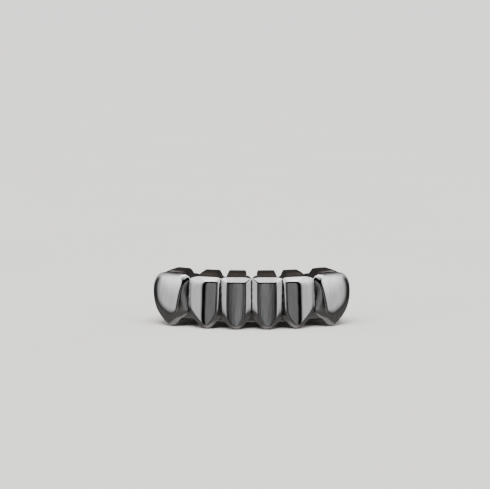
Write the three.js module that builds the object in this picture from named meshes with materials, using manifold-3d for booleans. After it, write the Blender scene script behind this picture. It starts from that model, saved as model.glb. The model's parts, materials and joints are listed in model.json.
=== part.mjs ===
// Lower fang grill: six hollow tooth caps cast as one piece of plated metal.
// The fronts of the caps face -Y, the open sides face down, and it rests on its lower edge.
import * as THREE from "three";
import { ConvexGeometry } from "three/addons/geometries/ConvexGeometry.js";
import { mergeVertices } from "three/addons/utils/BufferGeometryUtils.js";
import Module from "manifold-3d";

// Sizes in millimetres, angles in degrees.
const CENTRAL_WIDTH = 5.6; // caps are measured along the curve of the teeth
const LATERAL_WIDTH = 6.0;
const CANINE_WIDTH = 7.4;
const CENTRAL_TURN = 3; // how far each cap faces away from the middle
const LATERAL_TURN = 15;
const CANINE_TURN = 27;
const PLATE_HEIGHT = 9.15; // lower tip to top edge of a front plate
const INCISOR_DEPTH = 6.8; // edge of the front plate to the back face
const CANINE_DEPTH = 7.4;
const INCISOR_RELIEF = 0.7; // how far a front stands out from its edge
const CANINE_RELIEF = 1.25;
const FRONT_LEAN = 7; // the fronts lean back towards their top edge
const LEAN_PIVOT = 5.0; // height at which the lean moves nothing
const TAB_RISE = 0.75; // flat tab above the top edge of the plate
const TAB_SETBACK = 1.3; // the tab's front slope, measured from front to back
const TAB_LENGTH = 2.9; // flat top of the tab, front to back
const WALL = 0.65; // front, side and roof metal
const BACK_WALL = 0.8;

// Outlines of the front plates seen from the front, from the inner top corner round by the tip.
// across: share of half the cap's width, outer side positive. up: share of the plate's height.
const CENTRAL_OUTLINE = [
  { across: -0.97, up: 0.985 }, { across: -1.0, up: 0.94 }, { across: -1.0, up: 0.33 },
  { across: -0.74, up: 0.18 }, { across: -0.5, up: 0.08 }, { across: -0.27, up: 0.02 },
  { across: -0.1, up: 0.0 }, { across: 0.12, up: 0.0 }, { across: 0.3, up: 0.02 },
  { across: 0.53, up: 0.08 }, { across: 0.76, up: 0.16 }, { across: 1.0, up: 0.28 },
  { across: 1.0, up: 0.94 }, { across: 0.97, up: 0.985 }, { across: 0.7, up: 1.0 },
  { across: -0.7, up: 1.0 },
];
const LATERAL_OUTLINE = [
  { across: -0.97, up: 0.985 }, { across: -1.0, up: 0.94 }, { across: -1.0, up: 0.28 },
  { across: -0.78, up: 0.15 }, { across: -0.56, up: 0.06 }, { across: -0.36, up: 0.012 },
  { across: -0.24, up: 0.0 }, { across: -0.08, up: 0.0 }, { across: 0.1, up: 0.02 },
  { across: 0.36, up: 0.09 }, { across: 0.68, up: 0.19 }, { across: 1.0, up: 0.32 },
  { across: 1.0, up: 0.9 }, { across: 0.96, up: 0.96 }, { across: 0.6, up: 1.0 },
  { across: -0.75, up: 1.0 },
];
const CANINE_OUTLINE = [
  { across: -0.96, up: 0.99 }, { across: -1.0, up: 0.93 }, { across: -1.0, up: 0.3 },
  { across: -0.76, up: 0.19 }, { across: -0.5, up: 0.09 }, { across: -0.28, up: 0.015 },
  { across: -0.18, up: 0.0 }, { across: -0.06, up: 0.0 }, { across: 0.06, up: 0.02 },
  { across: 0.28, up: 0.09 }, { across: 0.54, up: 0.19 }, { across: 0.78, up: 0.33 },
  { across: 0.94, up: 0.5 }, { across: 1.0, up: 0.68 }, { across: 0.97, up: 0.84 },
  { across: 0.84, up: 0.95 }, { across: 0.56, up: 1.03 }, { across: -0.72, up: 1.03 },
];

// Raised parts of the fronts. out: share of the relief.
const CENTRAL_PANEL = [
  { across: -0.6, up: 0.92, out: 1 }, { across: 0, up: 0.92, out: 1.08 },
  { across: 0.6, up: 0.92, out: 1 }, { across: -0.62, up: 0.34, out: 1 },
  { across: 0.62, up: 0.3, out: 1 }, { across: -0.54, up: 0.23, out: 1 },
  { across: 0.56, up: 0.205, out: 1 }, { across: -0.38, up: 0.13, out: 1.02 },
  { across: 0.42, up: 0.125, out: 1.02 }, { across: -0.2, up: 0.065, out: 1.05 },
  { across: 0.25, up: 0.065, out: 1.05 }, { across: -0.04, up: 0.05, out: 1.06 },
  { across: 0.1, up: 0.05, out: 1.06 },
];
const LATERAL_PANEL = [
  { across: -0.84, up: 0.92, out: 0.93 }, { across: -0.4, up: 0.88, out: 1.07 },
  { across: -0.03, up: 0.92, out: 1.15 }, { across: -0.84, up: 0.32, out: 0.93 },
  { across: -0.03, up: 0.12, out: 1.15 }, { across: -0.68, up: 0.2, out: 0.98 },
  { across: -0.48, up: 0.11, out: 1.04 }, { across: -0.3, up: 0.06, out: 1.08 },
  { across: -0.14, up: 0.06, out: 1.12 }, { across: 0.78, up: 0.86, out: 0.5 },
  { across: 0.78, up: 0.36, out: 0.5 }, { across: 0.55, up: 0.25, out: 0.685 },
  { across: 0.3, up: 0.16, out: 0.885 }, { across: 0.1, up: 0.1, out: 1.045 },
];
const CANINE_RIDGE = [
  { across: -0.8, up: 0.9, out: 0.55 }, { across: -0.72, up: 0.74, out: 0.8 },
  { across: -0.62, up: 0.56, out: 0.95 }, { across: -0.54, up: 0.42, out: 1 },
  { across: -0.42, up: 0.24, out: 0.86 }, { across: -0.32, up: 0.12, out: 0.62 },
];
const CANINE_DOME = { across: -0.54, up: 0.42, rings: [0.92, 0.76, 0.56, 0.32] };

// Flat tabs on the roofs. foot is the lower front edge, flat the top, both from inner to outer side.
const CENTRAL_TAB = { foot: [-0.68, 0.68], footUp: [1.0, 1.0], flat: [-0.54, 0.54] };
const LATERAL_TAB = { foot: [-0.86, 0.6], footUp: [0.99, 0.99], flat: [-0.58, 0.3] };
const CANINE_TAB = { foot: [-0.88, 0.74], footUp: [1.0, 0.97], flat: [-0.48, 0.24] };

// The back face of a cap: a plain lobe with a straight lower edge.
// across: share of half the cap's width, times the share in reach that the back keeps of it.
const BACK_OUTLINE = [
  { across: -1, up: 0.0 }, { across: 1, up: 0.0 }, { across: 1, up: 0.82 },
  { across: 0.75, up: 0.93 }, { across: -0.75, up: 0.93 }, { across: -1, up: 0.82 },
];
const LOBE_DEPTH = 0.6; // the middle of each back face stands out this far from its sides
const LOBE_SHARE = 0.68; // and is this share of the back's reach wide
// The last cap's end wall comes down further than its front plate does there.
const END_WALL = [{ across: 0.86, up: 0.24, out: 0.22 }, { across: 0.82, up: 0.1, out: 0.55 }];

// Rings of a tooth's hollow from the open lower side up. size: share of the hollow's width.
const POCKET_RINGS = [
  { size: 1, up: -0.1, front: 0 }, { size: 1, up: 0.3, front: 1 }, { size: 1, up: 0.64, front: 1 },
  { size: 0.74, up: 0.82, front: 0.3 },
];
const POCKET_OVERLAP = 0.04; // the hollows of two neighbours overlap and so join
const POCKET_CORNER = 0.5; // corners of the hollow, cut off at the front and the back

const CAPS = [
  { width: CENTRAL_WIDTH, turn: CENTRAL_TURN, depth: INCISOR_DEPTH, relief: INCISOR_RELIEF,
    reach: [0.97, 0.86], outline: CENTRAL_OUTLINE, raised: CENTRAL_PANEL, tab: CENTRAL_TAB },
  { width: LATERAL_WIDTH, turn: LATERAL_TURN, depth: INCISOR_DEPTH, relief: INCISOR_RELIEF,
    reach: [0.84, 0.84], outline: LATERAL_OUTLINE, raised: LATERAL_PANEL, tab: LATERAL_TAB },
  { width: CANINE_WIDTH, turn: CANINE_TURN, depth: CANINE_DEPTH, relief: CANINE_RELIEF,
    reach: [0.82, 0.8], outline: CANINE_OUTLINE, raised: CANINE_RIDGE, dome: CANINE_DOME,
    tab: CANINE_TAB, last: true },
];

const wasm = await Module();
wasm.setup();

// One closed solid from the geometry of a convex shape.
function solidOf(geometry) {
  geometry.deleteAttribute("normal");
  geometry.deleteAttribute("uv");
  const merged = mergeVertices(geometry, 1e-4);
  return new wasm.Manifold(
    new wasm.Mesh({
      numProp: 3,
      vertProperties: new Float32Array(merged.attributes.position.array),
      triVerts: new Uint32Array(merged.index.array),
    }),
  );
}

// Each cap starts where the one before it ends, on a curve that begins at the middle of the grill.
function placed(caps) {
  let edge = new THREE.Vector2(0, 0);
  return caps.map((cap) => {
    const turn = THREE.MathUtils.degToRad(cap.turn);
    const along = new THREE.Vector2(Math.cos(turn), Math.sin(turn));
    const middle = edge.clone().addScaledVector(along, cap.width / 2);
    edge = edge.clone().addScaledVector(along, cap.width);
    return { ...cap, along, middle };
  });
}

// A point of a cap in the part's frame. out is measured forward from the edge of the front plate.
// The lean is whole at the front plate and fades out towards the upright back face.
function point(cap, side, across, out, z) {
  const lean = Math.tan(THREE.MathUtils.degToRad(FRONT_LEAN)) * (LEAN_PIVOT - z);
  const forward = out + lean * (1 + out / cap.depth);
  const u = (across * cap.width) / 2;
  const x = cap.middle.x + u * cap.along.x + forward * cap.along.y;
  const y = cap.middle.y + u * cap.along.y - forward * cap.along.x;
  return new THREE.Vector3(side * x, y, z);
}

// The convex solid through rows of {across, up, out}; up is a share of the plate's height.
function hull(cap, side, rows) {
  const corners = rows.map((r) => point(cap, side, r.across, r.out, r.up * PLATE_HEIGHT));
  return solidOf(new ConvexGeometry(corners));
}

const at = (rows, out) => rows.map((r) => ({ ...r, out }));

// The rings of a half dome on the outer side of the ridge, each a smaller copy of the outline there.
function domeRows(cap) {
  const { across, up, rings } = cap.dome;
  const outer = cap.outline.filter((r) => r.across >= across);
  return rings.flatMap((share) =>
    outer.map((r) => ({
      across: across + share * (r.across - across),
      up: up + share * (r.up - up),
      out: cap.relief * Math.sqrt(1 - share ** 2),
    })),
  );
}

// The front plate: flat facets or a dome between the outline and the raised part.
function front(cap, side) {
  const raised = cap.raised.map((r) => ({ ...r, out: r.out * cap.relief }));
  const dome = cap.dome ? domeRows(cap) : [];
  return hull(cap, side, [...at(cap.outline, 0), ...at(cap.outline, -WALL / 2), ...raised, ...dome]);
}

// The body of a cap from the front plate's edge back to the back face.
function body(cap, side) {
  const [inner, outer] = cap.reach;
  const back = BACK_OUTLINE.map((r) => ({ ...r, across: r.across * (r.across < 0 ? inner : outer) }));
  const end = cap.last ? END_WALL.map((r) => ({ ...r, out: -r.out * cap.depth })) : [];
  const lobe = back.map((r) => ({ across: r.across * LOBE_SHARE, up: r.up * 0.98 }));
  const rear = [...at(back, LOBE_DEPTH - cap.depth), ...at(lobe, -cap.depth)];
  return hull(cap, side, [...at(cap.outline, 0), ...end, ...rear]);
}

// The flat tab on the roof, with a slope on every side.
function tab(cap, side) {
  const { foot, footUp, flat } = cap.tab;
  const heel = 2 * TAB_SETBACK + TAB_LENGTH;
  const top = 1 + TAB_RISE / PLATE_HEIGHT;
  const rows = foot.flatMap((across, i) => [
    { across, up: footUp[i], out: 0 },
    { across, up: footUp[i] - 0.1, out: -WALL },
    { across: flat[i], up: top, out: -TAB_SETBACK },
    { across: flat[i], up: top, out: -TAB_SETBACK - TAB_LENGTH },
    { across: (flat[i] + across) / 2, up: 0.88, out: -heel },
  ]);
  return hull(cap, side, rows);
}

// The hollow for one tooth, open below and joined to the next hollow by a wide window.
function pocket(cap, side) {
  const wall = (2 * WALL) / cap.width;
  const outer = cap.last ? -wall : POCKET_OVERLAP;
  const front = [-1 - POCKET_OVERLAP, 1 + outer];
  const back = [-cap.reach[0] - POCKET_OVERLAP, cap.reach[1] + outer];
  const rear = BACK_WALL - cap.depth;
  const ring = (size, up, middle) => [
    { across: front[0], out: Math.min(middle, -WALL) - POCKET_CORNER }, { across: -0.45, out: middle },
    { across: 0.45, out: middle }, { across: front[1], out: Math.min(middle, -WALL) - POCKET_CORNER },
    { across: back[0], out: rear + POCKET_CORNER }, { across: back[0] * LOBE_SHARE, out: rear },
    { across: back[1] * LOBE_SHARE, out: rear }, { across: back[1], out: rear + POCKET_CORNER },
  ].map((r) => ({ ...r, across: r.across * size, up }));
  const rows = POCKET_RINGS.flatMap((r) => ring(r.size, r.up, r.front * cap.relief - WALL));
  const top = 1 + (TAB_RISE - 1.4 * WALL) / PLATE_HEIGHT;
  const inset = WALL / cap.width;
  const under = [cap.tab.flat[0] + inset, cap.tab.flat[1] - inset].flatMap((across) => [
    { across, up: top, out: -TAB_SETBACK - WALL / 2 },
    { across, up: top, out: -TAB_SETBACK - TAB_LENGTH + WALL / 2 },
  ]);
  return hull(cap, side, [...rows, ...under]);
}

function grill() {
  const sides = placed(CAPS).flatMap((cap) => [[cap, 1], [cap, -1]]);
  const metal = sides
    .flatMap(([cap, side]) => [front(cap, side), body(cap, side), tab(cap, side)])
    .reduce((whole, piece) => whole.add(piece));
  return sides.reduce((whole, [cap, side]) => whole.subtract(pocket(cap, side)), metal);
}

// Turns a solid into a named mesh that is centred over the origin and stands on z = 0.
function meshOf(name, solid, material) {
  const made = solid.getMesh();
  const geometry = new THREE.BufferGeometry();
  geometry.setAttribute("position", new THREE.BufferAttribute(made.vertProperties, 3));
  geometry.setIndex(new THREE.BufferAttribute(made.triVerts, 1));
  geometry.computeBoundingBox();
  const box = geometry.boundingBox;
  const middle = box.getCenter(new THREE.Vector3());
  geometry.translate(-middle.x, -middle.y, -box.min.z);
  geometry.computeVertexNormals();
  const mesh = new THREE.Mesh(geometry, material);
  mesh.name = name;
  return mesh;
}

const plating = new THREE.MeshStandardMaterial({ color: 0x6b6c70, metalness: 1, roughness: 0.12 });

const group = new THREE.Group();
group.add(meshOf("grill", grill(), plating));
export default group;
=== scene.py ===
"""Looks for the lower fang grill: a cast, plated row of six caps on a pale studio floor."""

import json
import math

import bmesh
import bpy
import numpy as np
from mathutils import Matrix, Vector

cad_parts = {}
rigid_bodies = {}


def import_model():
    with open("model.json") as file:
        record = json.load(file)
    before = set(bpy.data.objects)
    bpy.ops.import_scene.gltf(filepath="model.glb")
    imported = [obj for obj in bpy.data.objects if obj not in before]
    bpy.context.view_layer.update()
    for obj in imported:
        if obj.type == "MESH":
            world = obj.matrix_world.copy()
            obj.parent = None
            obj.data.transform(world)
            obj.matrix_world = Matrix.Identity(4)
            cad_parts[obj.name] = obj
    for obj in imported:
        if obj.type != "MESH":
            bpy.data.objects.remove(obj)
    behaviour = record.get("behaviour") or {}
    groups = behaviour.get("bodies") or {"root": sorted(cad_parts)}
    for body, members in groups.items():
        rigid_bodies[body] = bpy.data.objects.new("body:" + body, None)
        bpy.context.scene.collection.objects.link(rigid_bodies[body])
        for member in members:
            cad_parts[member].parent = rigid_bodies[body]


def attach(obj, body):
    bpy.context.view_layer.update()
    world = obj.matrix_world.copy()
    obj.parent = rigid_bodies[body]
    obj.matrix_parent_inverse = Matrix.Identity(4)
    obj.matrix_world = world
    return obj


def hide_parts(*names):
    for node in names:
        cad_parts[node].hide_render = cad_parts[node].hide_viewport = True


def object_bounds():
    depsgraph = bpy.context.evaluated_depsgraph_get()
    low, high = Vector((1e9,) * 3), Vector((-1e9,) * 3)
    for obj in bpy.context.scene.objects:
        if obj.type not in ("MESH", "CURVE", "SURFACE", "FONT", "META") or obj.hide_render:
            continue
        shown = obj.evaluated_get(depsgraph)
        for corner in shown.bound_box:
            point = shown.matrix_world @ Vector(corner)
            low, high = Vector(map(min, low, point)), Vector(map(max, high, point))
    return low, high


# Sizes of the casting in millimetres and degrees, the same as in the part's source.
CENTRAL_WIDTH, LATERAL_WIDTH, CANINE_WIDTH = 5.6, 6.0, 7.4
CENTRAL_TURN, LATERAL_TURN, CANINE_TURN = 3, 15, 27
PLATE_HEIGHT = 9.15
INCISOR_DEPTH, CANINE_DEPTH = 6.8, 7.4
INCISOR_RELIEF, CANINE_RELIEF = 0.7, 1.25
FRONT_LEAN, LEAN_PIVOT = 7, 5.0
TAB_RISE, TAB_SETBACK, TAB_LENGTH = 0.75, 1.3, 2.9
WALL, BACK_WALL = 0.65, 0.8

# Rows are (across, up): shares of half the cap's width and of the plate's height.
CENTRAL_OUTLINE = [
    (-0.97, 0.985), (-1.0, 0.94), (-1.0, 0.33), (-0.74, 0.18), (-0.5, 0.08), (-0.27, 0.02),
    (-0.1, 0.0), (0.12, 0.0), (0.3, 0.02), (0.53, 0.08), (0.76, 0.16), (1.0, 0.28),
    (1.0, 0.94), (0.97, 0.985), (0.7, 1.0), (-0.7, 1.0),
]
LATERAL_OUTLINE = [
    (-0.97, 0.985), (-1.0, 0.94), (-1.0, 0.28), (-0.78, 0.15), (-0.56, 0.06), (-0.36, 0.012),
    (-0.24, 0.0), (-0.08, 0.0), (0.1, 0.02), (0.36, 0.09), (0.68, 0.19), (1.0, 0.32),
    (1.0, 0.9), (0.96, 0.96), (0.6, 1.0), (-0.75, 1.0),
]
CANINE_OUTLINE = [
    (-0.96, 0.99), (-1.0, 0.93), (-1.0, 0.3), (-0.76, 0.19), (-0.5, 0.09), (-0.28, 0.015),
    (-0.18, 0.0), (-0.06, 0.0), (0.06, 0.02), (0.28, 0.09), (0.54, 0.19), (0.78, 0.33),
    (0.94, 0.5), (1.0, 0.68), (0.97, 0.84), (0.84, 0.95), (0.56, 1.03), (-0.72, 1.03),
]
# Rows are (across, up, out), with out a share of the relief.
CENTRAL_PANEL = [
    (-0.6, 0.92, 1), (0, 0.92, 1.08), (0.6, 0.92, 1), (-0.62, 0.34, 1), (0.62, 0.3, 1),
    (-0.54, 0.23, 1), (0.56, 0.205, 1), (-0.38, 0.13, 1.02), (0.42, 0.125, 1.02),
    (-0.2, 0.065, 1.05), (0.25, 0.065, 1.05), (-0.04, 0.05, 1.06), (0.1, 0.05, 1.06),
]
LATERAL_PANEL = [
    (-0.84, 0.92, 0.93), (-0.4, 0.88, 1.07), (-0.03, 0.92, 1.15),
    (-0.84, 0.32, 0.93), (-0.03, 0.12, 1.15), (-0.68, 0.2, 0.98),
    (-0.48, 0.11, 1.04), (-0.3, 0.06, 1.08), (-0.14, 0.06, 1.12),
    (0.78, 0.86, 0.5), (0.78, 0.36, 0.5), (0.55, 0.25, 0.685),
    (0.3, 0.16, 0.885), (0.1, 0.1, 1.045),
]
CANINE_RIDGE = [
    (-0.8, 0.9, 0.55), (-0.72, 0.74, 0.8), (-0.62, 0.56, 0.95),
    (-0.54, 0.42, 1.0), (-0.42, 0.24, 0.86), (-0.32, 0.12, 0.62),
]
# Beside the ridge, each canine is half a dome: rings that shrink towards a centre as they rise.
DOME_CENTRE, DOME_RINGS = (-0.54, 0.42), (0.97, 0.92, 0.85, 0.76, 0.65, 0.52, 0.38, 0.22)
BACK_OUTLINE = [(-1, 0.0), (1, 0.0), (1, 0.82), (0.75, 0.93), (-0.75, 0.93), (-1, 0.82)]
LOBE_DEPTH, LOBE_SHARE, LOBE_HEIGHT = 0.6, 0.68, 0.98  # how the back wall bulges behind each cap
END_WALL = [(0.86, 0.24, 0.22), (0.82, 0.1, 0.55)]  # across, up and a share of the depth
TAB_SINK, TAB_END_UP = 0.1, 0.88  # shares of the plate's height
# Rows are (size, up, how far the ring follows the front's relief).
POCKET_RINGS = [(1, -0.1, 0), (1, 0.3, 1), (1, 0.64, 1), (0.74, 0.82, 0.3)]
POCKET_OVERLAP, POCKET_CORNER, POCKET_MIDDLE = 0.04, 0.5, 0.45
TAB_ROOF = 1.4 * WALL

CAPS = [
    {"width": CENTRAL_WIDTH, "turn": CENTRAL_TURN, "depth": INCISOR_DEPTH, "relief": INCISOR_RELIEF,
     "reach": (0.97, 0.86), "outline": CENTRAL_OUTLINE, "raised": CENTRAL_PANEL,
     "foot": (-0.68, 0.68), "foot_up": (1.0, 1.0), "flat": (-0.54, 0.54), "last": False},
    {"width": LATERAL_WIDTH, "turn": LATERAL_TURN, "depth": INCISOR_DEPTH, "relief": INCISOR_RELIEF,
     "reach": (0.84, 0.84), "outline": LATERAL_OUTLINE, "raised": LATERAL_PANEL,
     "foot": (-0.86, 0.6), "foot_up": (0.99, 0.99), "flat": (-0.58, 0.3), "last": False},
    {"width": CANINE_WIDTH, "turn": CANINE_TURN, "depth": CANINE_DEPTH, "relief": CANINE_RELIEF,
     "reach": (0.82, 0.8), "outline": CANINE_OUTLINE, "raised": CANINE_RIDGE,
     "foot": (-0.88, 0.74), "foot_up": (1.0, 0.97), "flat": (-0.48, 0.24), "last": True},
]

EDGE_SHARPNESS = 16.0  # per millimetre: how tightly the polished edges turn
CROWD_ANGLE = 14.0  # degrees between planes that count as one curve
POCKET_SHARPNESS = 9.0
FILLET = 0.14  # where two forms of the casting meet
HOLLOW_FILLET = FILLET * 3  # where two hollows meet
RIM_FILLET = 0.2  # where the hollow meets the outside
CELL = 0.16  # of the grid that the surface is drawn on
ROUNDS = 3  # how often the vertices are moved onto the skin
FAR = 1.0  # a distance past which nothing is worked out
MARGIN, SIDE_MARGIN = 0.5, 0.8  # of the grid round the casting
LEAST_SLOPE = 0.25  # squared, so that no step gets out of hand where the distance is flat
MOST_STEP = 0.5 * CELL
CHUNK = 20000  # points worked out at once
CORNER_CUT = 0.2
SLIVER = 1e-5  # faces smaller than this say nothing about a form
METRES = 0.001


def clear_scene():
    for o in list(bpy.data.objects):
        bpy.data.objects.remove(o, do_unlink=True)


# The casting, worked out as distances to its forms.


def rounded(outline, times):
    """The outline with its corners cut off a few times, which rounds it."""
    p = np.array(outline, float)
    for _ in range(times):
        after = np.roll(p, -1, 0)
        keep = 1 - CORNER_CUT
        p = np.stack([keep * p + CORNER_CUT * after, CORNER_CUT * p + keep * after], 1).reshape(-1, 2)
    return p


def hull_planes(cap, rows):
    """The planes (normals, offsets, weights) of the convex form through rows of across, up, out.
    Planes that crowd on a smooth curve share one weight, so that only true edges get rounded."""
    bm = bmesh.new()
    for across, up, out in rows:
        bm.verts.new((across * cap["width"] / 2, out, up * PLATE_HEIGHT))
    bmesh.ops.remove_doubles(bm, verts=bm.verts, dist=1e-3)
    bmesh.ops.convex_hull(bm, input=bm.verts)
    inner = sum((v.co for v in bm.verts), Vector()) / len(bm.verts)
    found = {}
    for f in bm.faces:
        n = f.normal
        if f.calc_area() < SLIVER or n.length < 0.5:
            continue
        d = n.dot(f.verts[0].co)
        if n.dot(inner) > d:
            n, d = -n, -d
        found[tuple(round(c, 2) for c in (*n, d))] = (*n, d)
    bm.free()
    table = np.array(list(found.values()))
    normals = table[:, :3].copy()
    angles = np.degrees(np.arccos(np.clip(normals @ normals.T, -1, 1)))
    crowd = np.exp(-((angles / CROWD_ANGLE) ** 2)).sum(1)
    return normals, table[:, 3].copy(), -np.log(crowd)


def at(outline, out):
    return [(a, u, out) for a, u in outline]


def front_rows(cap):
    """The front plate with what is raised on it."""
    smooth = rounded(cap["outline"], 2)
    rows = at(smooth, 0) + at(smooth, -WALL / 2)
    rows += [(a, u, o * cap["relief"]) for a, u, o in cap["raised"]]
    if cap["last"]:
        centre = np.array(DOME_CENTRE)
        for share in DOME_RINGS:
            ring = centre + share * (smooth - centre)
            ring = ring[ring[:, 0] >= centre[0]]
            rows += at(ring, cap["relief"] * math.sqrt(1 - share**2))
    return rows


def body_rows(cap):
    """The cap behind the plate, with its side and back walls."""
    inner, outer = cap["reach"]
    back = [(a * (inner if a < 0 else outer), u) for a, u in BACK_OUTLINE]
    rows = at(rounded(cap["outline"], 1), 0) + at(back, LOBE_DEPTH - cap["depth"])
    rows += [(a * LOBE_SHARE, u * LOBE_HEIGHT, -cap["depth"]) for a, u in back]
    if cap["last"]:
        rows += [(a, u, -o * cap["depth"]) for a, u, o in END_WALL]
    return rows


def tab_rows(cap):
    """The hipped tab on the roof."""
    top = 1 + TAB_RISE / PLATE_HEIGHT
    rows = []
    for foot, up, flat in zip(cap["foot"], cap["foot_up"], cap["flat"]):
        rows += [
            (foot, up, 0), (foot, up - TAB_SINK, -WALL),
            (flat, top, -TAB_SETBACK), (flat, top, -TAB_SETBACK - TAB_LENGTH),
            ((flat + foot) / 2, TAB_END_UP, -2 * TAB_SETBACK - TAB_LENGTH),
        ]
    return rows


def pocket_rows(cap):
    """The hollow of a cap, open below, which reaches into the next cap's hollow."""
    outer = -2 * WALL / cap["width"] if cap["last"] else POCKET_OVERLAP
    front = (-1 - POCKET_OVERLAP, 1 + outer)
    back = (-cap["reach"][0] - POCKET_OVERLAP, cap["reach"][1] + outer)
    rear = BACK_WALL - cap["depth"]
    rows = []
    for size, up, share in POCKET_RINGS:
        middle = share * cap["relief"] - WALL
        side = min(middle, -WALL) - POCKET_CORNER
        ring = [
            (front[0], side), (-POCKET_MIDDLE, middle), (POCKET_MIDDLE, middle), (front[1], side),
            (back[0], rear + POCKET_CORNER), (back[0] * LOBE_SHARE, rear),
            (back[1] * LOBE_SHARE, rear), (back[1], rear + POCKET_CORNER),
        ]
        rows += [(a * size, up, out) for a, out in ring]
    top = 1 + (TAB_RISE - TAB_ROOF) / PLATE_HEIGHT
    inset = WALL / cap["width"]
    near, far = -TAB_SETBACK - WALL / 2, -TAB_SETBACK - TAB_LENGTH + WALL / 2
    for across in (cap["flat"][0] + inset, cap["flat"][1] - inset):
        rows += [(across, top, near), (across, top, far)]
    return rows


def lean_of(z):
    """How far the front comes forward at a height."""
    return math.tan(math.radians(FRONT_LEAN)) * (LEAN_PIVOT - z)


def placed_caps():
    """The caps with their place on the curve and the planes of their forms."""
    edge = np.zeros(2)
    caps = []
    for cap in CAPS:
        turn = math.radians(cap["turn"])
        along = np.array([math.cos(turn), math.sin(turn)])
        forms = [hull_planes(cap, rows(cap)) for rows in (front_rows, body_rows, tab_rows)]
        caps.append({**cap, "along": along, "middle": edge + along * cap["width"] / 2,
                     "forms": forms, "pocket": hull_planes(cap, pocket_rows(cap))})
        edge = edge + along * cap["width"]
    return caps


def y_range(caps):
    """How far the casting reaches to the front and the back."""
    ys = []
    for cap in caps:
        for across, up, out in front_rows(cap) + body_rows(cap) + tab_rows(cap):
            forward = out + lean_of(up * PLATE_HEIGHT) * (1 + out / cap["depth"])
            u = across * cap["width"] / 2
            ys.append(cap["middle"][1] + u * cap["along"][1] - forward * cap["along"][0])
    return min(ys), max(ys)


def soft_max(values, sharpness):
    """The largest value of each row, with a smooth change from one to the next."""
    top = values.max(1)
    return top + np.log(np.exp(sharpness * (values - top[:, None])).sum(1)) / sharpness


def convex_distance(planes, q, sharpness):
    """Distance to a convex form whose edges are rounded, in chunks that fit in memory."""
    normals, offsets, weights = planes
    offsets = offsets - weights / sharpness
    found = np.empty(len(q))
    for i in range(0, len(q), CHUNK):
        found[i:i + CHUNK] = soft_max(q[i:i + CHUNK] @ normals.T - offsets, sharpness)
    return found


def blend_min(a, b, k):
    """The smaller of two distances, with a fillet about k wide where they are alike."""
    h = np.maximum(k - np.abs(a - b), 0) / k
    return np.minimum(a, b) - h * h * k / 4


def parts_distance(caps, p):
    """Distances from points to the casting with its hollows filled, and to the hollows."""
    metal = np.full(len(p), FAR)
    hollow = np.full(len(p), FAR)
    for cap in caps:
        for side in (1, -1):
            dx, dy = side * p[:, 0] - cap["middle"][0], p[:, 1] - cap["middle"][1]
            u = dx * cap["along"][0] + dy * cap["along"][1]
            forward = dx * cap["along"][1] - dy * cap["along"][0]
            lean = lean_of(p[:, 2])
            out = (forward - lean) / (1 + lean / cap["depth"])
            near = (np.abs(u) < cap["width"] / 2 + FAR) & (out < cap["relief"] + FAR)
            near &= out > -cap["depth"] - FAR
            if not near.any():
                continue
            q = np.stack([u[near], out[near], p[near, 2]], 1)
            solid = np.full(len(q), FAR)
            for planes in cap["forms"]:
                d = np.minimum(convex_distance(planes, q, EDGE_SHARPNESS), FAR)
                solid = blend_min(solid, d, FILLET)
            metal[near] = blend_min(metal[near], solid, FILLET)
            d = np.minimum(convex_distance(cap["pocket"], q, POCKET_SHARPNESS), FAR)
            hollow[near] = blend_min(hollow[near], d, HOLLOW_FILLET)
    return metal, hollow


def distance(caps, p):
    """Distance from points to the skin of the casting, less than nothing inside the metal."""
    metal, hollow = parts_distance(caps, p)
    return -blend_min(-metal, hollow, RIM_FILLET)


def grid_surface(caps, low, high):
    """Vertices and quads of the skin, with one vertex in each cell of a grid that it crosses."""
    axes = [np.arange(a, b + CELL, CELL) for a, b in zip(low, high)]
    shape = tuple(len(a) for a in axes)
    points = np.stack(np.meshgrid(*axes, indexing="ij"), -1).reshape(-1, 3)
    field = distance(caps, points).reshape(shape)
    inside = field < 0
    cut = tuple(n - 1 for n in shape)

    def corner(f, i, j, k):
        return f[i:cut[0] + i, j:cut[1] + j, k:cut[2] + k]

    corners = [(i, j, k) for i in (0, 1) for j in (0, 1) for k in (0, 1)]
    count = sum(corner(inside, *c).astype(np.int8) for c in corners)
    active = (count > 0) & (count < 8)
    index = np.full(cut, -1)
    index[active] = np.arange(active.sum())
    total, crossings = np.zeros((active.sum(), 3)), np.zeros(active.sum())
    for c in corners:
        for axis in range(3):
            if c[axis]:
                continue
            other = tuple(v + (n == axis) for n, v in enumerate(c))
            a, b = corner(field, *c)[active], corner(field, *other)[active]
            hit = (a < 0) != (b < 0)
            place = np.tile(np.array(c, float), (len(a), 1))
            place[hit, axis] += (a / np.where(a == b, 1, a - b))[hit]
            total[hit] += place[hit]
            crossings += hit
    cells = np.argwhere(active)
    vertices = np.array(low) + (cells + total / crossings[:, None]) * CELL
    quads = []
    for axis in range(3):
        ahead = tuple(slice(1, None) if n == axis else slice(1, -1) for n in range(3))
        behind = tuple(slice(None, -1) if n == axis else slice(1, -1) for n in range(3))
        now, then = inside[behind], inside[ahead]
        at_edge = np.argwhere(now != then)
        for n in range(3):
            if n != axis:
                at_edge[:, n] += 1
        b, c = [n for n in range(3) if n != axis]
        ring = []
        for sb, sc in ((1, 1), (0, 1), (0, 0), (1, 0)):
            at_cell = at_edge.copy()
            at_cell[:, b] -= sb
            at_cell[:, c] -= sc
            ring.append(index[tuple(at_cell.T)])
        ring = np.stack(ring, 1)
        outward = now[tuple((at_edge - [n != axis for n in range(3)]).T)]
        flip = outward == (axis == 1)
        ring[flip] = ring[flip][:, ::-1]
        quads.append(ring)
    return vertices, np.concatenate(quads)


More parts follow.
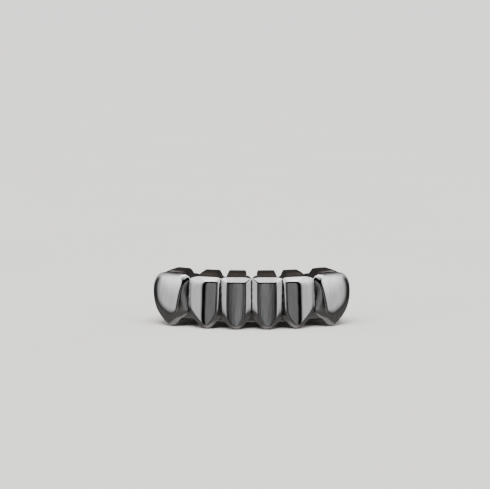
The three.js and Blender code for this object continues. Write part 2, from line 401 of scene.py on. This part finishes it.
def slope(caps, p, step=0.01):
    """The direction in which the distance grows, which is the skin's normal."""
    made = np.empty_like(p)
    for axis in range(3):
        move = np.zeros(3)
        move[axis] = step
        made[:, axis] = (distance(caps, p + move) - distance(caps, p - move)) / (2 * step)
    return made


def casting():
    """The grill as one mesh, its vertices drawn onto the skin and its normals taken from it."""
    caps = placed_caps()
    front, back = y_range(caps)
    half = sum(c["width"] * math.cos(math.radians(c["turn"])) for c in CAPS)
    low = (-half - SIDE_MARGIN, front - MARGIN, -MARGIN)
    high = (half + SIDE_MARGIN, back + MARGIN, PLATE_HEIGHT + TAB_RISE + MARGIN)
    p, quads = grid_surface(caps, low, high)
    for _ in range(ROUNDS):
        n = slope(caps, p)
        size = np.maximum((n * n).sum(1), LEAST_SLOPE)
        step = n * (distance(caps, p) / size)[:, None]
        length = np.linalg.norm(step, axis=1, keepdims=True)
        p = p - step * np.minimum(1, MOST_STEP / np.maximum(length, 1e-9))
    n = slope(caps, p)
    n /= np.linalg.norm(n, axis=1, keepdims=True)
    metal, hollow = parts_distance(caps, p)
    inner = (-hollow > metal)[quads].sum(1) >= 3
    p[:, 1] -= (front + back) / 2
    p[:, 2] -= p[:, 2].min()
    mesh = bpy.data.meshes.new("grill_casting")
    mesh.from_pydata((p * METRES).tolist(), [], quads.tolist())
    mesh.validate()
    mesh.materials.append(plating_material())
    mesh.materials.append(hollow_material())
    mesh.polygons.foreach_set("material_index", inner.astype(np.int32))
    mesh.polygons.foreach_set("use_smooth", np.ones(len(mesh.polygons), bool))
    mesh.normals_split_custom_set_from_vertices(n.tolist())
    mesh.update()
    made = bpy.data.objects.new("grill_casting", mesh)
    bpy.context.collection.objects.link(made)
    return made


# Materials. Colours are (dark, light) and depths are in metres.

POLISHED = (0.318, 0.320, 0.328, 1), (0.368, 0.368, 0.372, 1)
# Near black, painted into the grooves between the caps as shade.
GROOVE_PAINTED_SHADE = (0.02, 0.02, 0.022, 1)
AS_CAST = (0.20, 0.20, 0.205, 1), (0.27, 0.268, 0.268, 1)
PAPER = (0.64, 0.63, 0.615, 1), (0.68, 0.67, 0.655, 1)
GROOVE, OPEN = 0.465, 0.494  # how pointed the skin is in a groove, and where it starts to be open
POLISHED_ROUGHNESS, CAST_ROUGHNESS = (0.035, 0.09), (0.38, 0.55)
LINE_DEPTH, GRAIN_DEPTH = 0.000012, 0.00004


def new_material(name):
    material = bpy.data.materials.new(name)
    material.use_nodes = True
    tree = material.node_tree
    tree.nodes.clear()
    shader = tree.nodes.new("ShaderNodeBsdfPrincipled")
    tree.links.new(shader.outputs[0], tree.nodes.new("ShaderNodeOutputMaterial").inputs[0])
    return material, tree, shader


def millimetres(tree, scale):
    """Object coordinates in millimetres, stretched by scale."""
    place = tree.nodes.new("ShaderNodeTexCoord")
    mapping = tree.nodes.new("ShaderNodeMapping")
    mapping.inputs["Scale"].default_value = [1000 * s for s in scale]
    tree.links.new(place.outputs["Object"], mapping.inputs["Vector"])
    return mapping.outputs[0]


def noise(tree, scale, detail=3.0, roughness=0.5):
    made = tree.nodes.new("ShaderNodeTexNoise")
    made.inputs["Scale"].default_value = 1.0
    made.inputs["Detail"].default_value = detail
    made.inputs["Roughness"].default_value = roughness
    tree.links.new(millimetres(tree, scale), made.inputs["Vector"])
    return made.outputs["Fac"]


def spread(tree, value, low, high, start=0.3, end=0.7):
    made = tree.nodes.new("ShaderNodeMapRange")
    for name, number in (("From Min", start), ("From Max", end), ("To Min", low), ("To Max", high)):
        made.inputs[name].default_value = number
    tree.links.new(value, made.inputs["Value"])
    return made.outputs[0]


def tones(tree, value, colours, start=0.0, end=1.0):
    """The dark colour where the value is at its start, and the light one at its end."""
    ramp = tree.nodes.new("ShaderNodeValToRGB")
    for number, (place, colour) in enumerate(zip((start, end), colours)):
        ramp.color_ramp.elements[number].position = place
        ramp.color_ramp.elements[number].color = colour
    tree.links.new(value, ramp.inputs[0])
    return ramp.outputs[0]


def bump(tree, shader, height, strength, depth):
    made = tree.nodes.new("ShaderNodeBump")
    made.inputs["Strength"].default_value = strength
    made.inputs["Distance"].default_value = depth
    tree.links.new(height, made.inputs["Height"])
    tree.links.new(made.outputs[0], shader.inputs["Normal"])


def plating_material():
    """Mirror-polished dark nickel: nearly smooth, with faint polishing lines and handling haze, and
    painted shade in the grooves between the caps.
    """
    material, tree, shader = new_material("gunmetal_plating")
    metal = tones(tree, noise(tree, (1.3, 1.3, 0.12)), POLISHED, 0.35, 0.65)
    # Painted shade: the grooves between the caps, found by how pointed the skin is, are coloured near
    # black to stand in for the shade that falls in these creases.
    shape = tree.nodes.new("ShaderNodeNewGeometry")
    away_from_groove_shade = spread(tree, shape.outputs["Pointiness"], 0.0, 1.0, GROOVE, OPEN)
    painted_groove_shade = tree.nodes.new("ShaderNodeMix")
    painted_groove_shade.data_type = "RGBA"
    painted_groove_shade.inputs[6].default_value = GROOVE_PAINTED_SHADE
    tree.links.new(away_from_groove_shade, painted_groove_shade.inputs[0])
    tree.links.new(metal, painted_groove_shade.inputs[7])
    tree.links.new(painted_groove_shade.outputs[2], shader.inputs["Base Color"])
    shader.inputs["Metallic"].default_value = 1.0
    haze = noise(tree, (0.9, 0.9, 0.6), 4.0)
    tree.links.new(spread(tree, haze, *POLISHED_ROUGHNESS), shader.inputs["Roughness"])
    bump(tree, shader, noise(tree, (3.2, 3.2, 0.25), 2.0), 0.3, LINE_DEPTH)
    return material


def hollow_material():
    """The same plating in the hollows, as cast: satin and a little darker."""
    material, tree, shader = new_material("gunmetal_hollow")
    metal = tones(tree, noise(tree, (0.8, 0.8, 0.8)), AS_CAST, 0.3, 0.7)
    tree.links.new(metal, shader.inputs["Base Color"])
    shader.inputs["Metallic"].default_value = 1.0
    grain = noise(tree, (6.0, 6.0, 6.0), 4.0)
    tree.links.new(spread(tree, grain, *CAST_ROUGHNESS), shader.inputs["Roughness"])
    bump(tree, shader, grain, 0.5, GRAIN_DEPTH)
    return material


def floor_material():
    """Matt pale paper, barely uneven in tone."""
    material, tree, shader = new_material("studio_floor")
    paper = tones(tree, noise(tree, (0.02, 0.02, 0.02)), PAPER)
    tree.links.new(paper, shader.inputs["Base Color"])
    shader.inputs["Roughness"].default_value = 0.8
    shader.inputs["Specular IOR Level"].default_value = 0.2
    return material


# Studio.

FLOOR_RADIUS = 1.8


def floor():
    """The floor under the grill, which the metal doesn't mirror: the painted room stands in for it."""
    bm = bmesh.new()
    bmesh.ops.create_circle(bm, cap_ends=True, segments=64, radius=FLOOR_RADIUS)
    mesh = bpy.data.meshes.new("studio_floor")
    bm.to_mesh(mesh)
    bm.free()
    made = bpy.data.objects.new("studio_floor", mesh)
    bpy.context.collection.objects.link(made)
    mesh.materials.append(floor_material())
    made.visible_glossy = False


# The room that the metal mirrors. Degrees: azimuth 0 is in front of the grill and 90 to either side.
# Each row is one soft-edged box of light: azimuth (from, softness, to, softness), elevation
# (from, softness, to, softness), radiance and colour.
NEUTRAL, WARM, BROWN = (1.0, 0.995, 0.99, 1), (1.0, 0.95, 0.9, 1), (1.0, 0.84, 0.72, 1)
ROOM = [
    (45, 6, 81, 12, -5, 5, 76, 4, 1.6, NEUTRAL),
    (76, 12, 132, 12, 28, 12, 78, 6, 1.6, NEUTRAL),
    (49, 8, 72, 12, 20, 20, 72, 14, 2.8, NEUTRAL),
    (-90, 4, 11, 3, -14, 6, 14, 6, 0.17, NEUTRAL),
    (3.6, 1.4, 6.6, 1.8, -14, 8, 16, 8, 0.36, NEUTRAL),
    (21, 2, 27.5, 2, -14, 6, 14, 6, 0.42, NEUTRAL),
    (86, 8, 200, 8, -8, 6, 42, 12, 0.06, WARM),
    (95, 10, 200, 10, 45, 10, 100, 10, 0.16, BROWN),
    (114, 6, 142, 8, 4, 8, 52, 12, 0.9, NEUTRAL),
    (-90, 10, 200, 10, -56, 10, -9, 5, 0.2, WARM),
    (-90, 10, 200, 10, -100, 10, -52, 10, 0.6, WARM),
]
ROOM_DARK = 0.012
# A round soft light overhead, tilted to the front.
SKY_TILT, SKY_REACH, SKY_SOFT, SKY_RADIANCE = 12, 25, 5, 3.6
BACKDROP, BACKDROP_TINT = 1.55, (1, 0.985, 0.965)


def maths(tree, kind, a, b=0.0):
    made = tree.nodes.new("ShaderNodeMath")
    made.operation = kind
    for socket, value in zip(made.inputs, (a, b)):
        if isinstance(value, (int, float)):
            socket.default_value = value
        else:
            tree.links.new(value, socket)
    return made.outputs[0]


def step_up(tree, value, place, soft):
    """0 below the place and 1 above it, with a smooth change."""
    made = tree.nodes.new("ShaderNodeMapRange")
    made.interpolation_type = "SMOOTHSTEP"
    for name, number in (("From Min", place - soft), ("From Max", place + soft)):
        made.inputs[name].default_value = number
    tree.links.new(value, made.inputs["Value"])
    return made.outputs[0]


def between(tree, value, low, soft_low, high, soft_high):
    """1 between two places and 0 outside them, with soft edges."""
    rise = step_up(tree, value, low, soft_low)
    return maths(tree, "SUBTRACT", rise, step_up(tree, value, high, soft_high))


def world():
    """Pale where the camera looks at it, and a studio with soft lights in reflections."""
    made = bpy.data.worlds.new("studio")
    bpy.context.scene.world = made
    made.use_nodes = True
    tree = made.node_tree
    tree.nodes.clear()
    way = tree.nodes.new("ShaderNodeSeparateXYZ")
    place = tree.nodes.new("ShaderNodeTexCoord")
    tree.links.new(place.outputs["Generated"], way.inputs[0])
    x, y, z = way.outputs
    azimuth = maths(tree, "ARCTAN2", maths(tree, "ABSOLUTE", x), maths(tree, "MULTIPLY", y, -1.0))
    azimuth = maths(tree, "DEGREES", azimuth)
    elevation = maths(tree, "DEGREES", maths(tree, "ARCSINE", z))
    masks = []
    for *edges, radiance, colour in ROOM:
        wide, high = between(tree, azimuth, *edges[:4]), between(tree, elevation, *edges[4:])
        masks.append((maths(tree, "MULTIPLY", maths(tree, "MULTIPLY", wide, high), radiance), colour))
    tilt = math.radians(SKY_TILT)
    ahead = maths(tree, "MULTIPLY", y, -math.sin(tilt))
    above = maths(tree, "MULTIPLY", z, math.cos(tilt))
    dot = maths(tree, "ADD", ahead, above)
    off = maths(tree, "DEGREES", maths(tree, "ARCCOSINE", maths(tree, "MINIMUM", dot, 1.0)))
    sky = maths(tree, "SUBTRACT", 1.0, step_up(tree, off, SKY_REACH, SKY_SOFT))
    masks.append((maths(tree, "MULTIPLY", sky, SKY_RADIANCE), NEUTRAL))
    room = tree.nodes.new("ShaderNodeBackground").outputs[0]
    room.node.inputs["Strength"].default_value = ROOM_DARK
    for mask, colour in masks:
        light = tree.nodes.new("ShaderNodeBackground")
        light.inputs["Color"].default_value = colour
        tree.links.new(mask, light.inputs["Strength"])
        both = tree.nodes.new("ShaderNodeAddShader")
        tree.links.new(room, both.inputs[0])
        tree.links.new(light.outputs[0], both.inputs[1])
        room = both.outputs[0]
    seen = tree.nodes.new("ShaderNodeLightPath")
    pale = tree.nodes.new("ShaderNodeBackground")
    pale.inputs["Color"].default_value = [BACKDROP * share for share in BACKDROP_TINT] + [1]
    mix = tree.nodes.new("ShaderNodeMixShader")
    tree.links.new(seen.outputs["Is Camera Ray"], mix.inputs[0])
    tree.links.new(room, mix.inputs[1])
    tree.links.new(pale.outputs[0], mix.inputs[2])
    tree.links.new(mix.outputs[0], tree.nodes.new("ShaderNodeOutputWorld").inputs[0])


KEY_STRENGTH, KEY_SPREAD, KEY_TILT = 2.6, 40, 15


def lights():
    """One broad light from above, for the floor and its shadow."""
    sun = bpy.data.lights.new("soft_key", "SUN")
    sun.energy, sun.angle = KEY_STRENGTH, math.radians(KEY_SPREAD)
    made = bpy.data.objects.new("soft_key", sun)
    made.rotation_euler = (math.radians(KEY_TILT), 0, 0)
    made.visible_glossy = False
    bpy.context.collection.objects.link(made)


FRAME_WIDE, FRAME_HIGH = 490, 489
MM_PER_PIXEL = 0.1825
CAMERA_DISTANCE = 0.30
CAMERA_ELEVATION = 11.0
SENSOR = 36
CLIP_NEAR, CLIP_FAR = 0.01, 10
SEEN_AT = (251.7, 296.6)  # where the middle of the grill shows in the frame


def camera(centre):
    """The photo's view: from in front and a little above, at the photo's scale and place."""
    data = bpy.data.cameras.new("camera")
    data.sensor_width = SENSOR
    data.lens = SENSOR * CAMERA_DISTANCE / (FRAME_WIDE * MM_PER_PIXEL * METRES)
    data.clip_start, data.clip_end = CLIP_NEAR, CLIP_FAR
    made = bpy.data.objects.new("camera", data)
    e = math.radians(CAMERA_ELEVATION)
    back = Vector((0, -math.cos(e), math.sin(e)))
    up = Vector((0, math.sin(e), math.cos(e)))
    pixel = MM_PER_PIXEL * METRES
    aim = centre - Vector((1, 0, 0)) * (SEEN_AT[0] - FRAME_WIDE / 2) * pixel
    aim += up * (SEEN_AT[1] - FRAME_HIGH / 2) * pixel
    made.location = centre + back * CAMERA_DISTANCE
    made.rotation_mode = "QUATERNION"
    made.rotation_quaternion = (aim - made.location).to_track_quat("-Z", "Y")
    bpy.context.collection.objects.link(made)
    bpy.context.scene.camera = made


clear_scene()
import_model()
cad_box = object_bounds()
grill = casting()
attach(grill, "root")
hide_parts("grill")
camera((cad_box[0] + cad_box[1]) / 2)
floor()
world()
lights()
